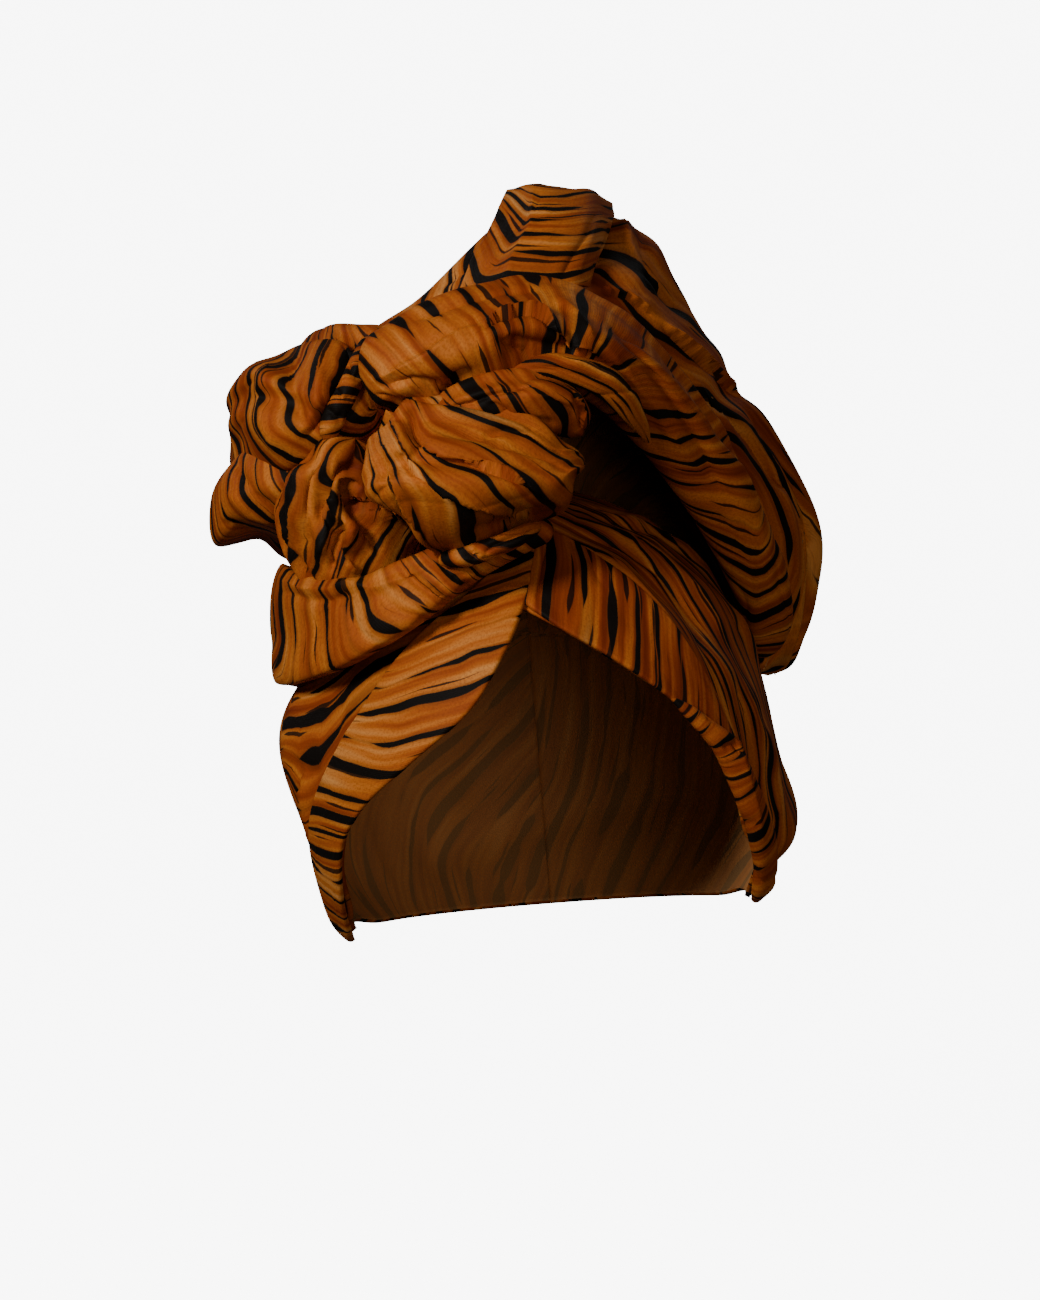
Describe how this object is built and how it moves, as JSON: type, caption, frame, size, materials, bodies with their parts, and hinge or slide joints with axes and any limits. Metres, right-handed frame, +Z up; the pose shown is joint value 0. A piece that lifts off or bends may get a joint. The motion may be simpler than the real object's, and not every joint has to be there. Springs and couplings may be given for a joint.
{
  "type": "turban headwrap",
  "caption": "Pre-draped turban headwrap: close cap with an open face, crossed brow bands, a side sash, a front knot and soft rolls and loops built up over the crown.",
  "frame": {"origin": "the head_seat mount: the middle of the head hollow, on the girth line of the head", "axes": "+Z up out of the crown, -Y out of the face opening, +X to the viewer's right"},
  "size_m": [0.2042, 0.2177, 0.2497],
  "materials": {
    "cap_cloth": "printed stretch jersey, soft matt",
    "left_band_cloth": "printed stretch jersey, soft matt",
    "right_band_cloth": "printed stretch jersey, soft matt",
    "temple_cloth": "printed stretch jersey, soft matt",
    "sash_cloth": "printed stretch jersey, soft matt",
    "tuck_cloth": "printed stretch jersey, soft matt",
    "knot_cloth": "printed stretch jersey, soft matt",
    "inner_cloth": "printed stretch jersey, soft matt",
    "arch_cloth": "printed stretch jersey, soft matt",
    "lip_cloth": "printed stretch jersey, soft matt",
    "loop_cloth": "printed stretch jersey, soft matt",
    "low_loop_cloth": "printed stretch jersey, soft matt",
    "drape_cloth": "printed stretch jersey, soft matt",
    "top_fold_cloth": "printed stretch jersey, soft matt"
  },
  "bodies": {
    "root": {"cap": "cap_cloth", "front_band_left": "left_band_cloth", "front_band_right": "right_band_cloth", "temple_roll": "temple_cloth", "side_sash": "sash_cloth", "side_tuck": "tuck_cloth", "front_knot": "knot_cloth", "inner_fold": "inner_cloth", "arch_roll": "arch_cloth", "arch_lip": "lip_cloth", "side_loop": "loop_cloth", "low_loop": "low_loop_cloth", "crown_drape": "drape_cloth", "top_fold": "top_fold_cloth"}
  },
  "joints": []
}
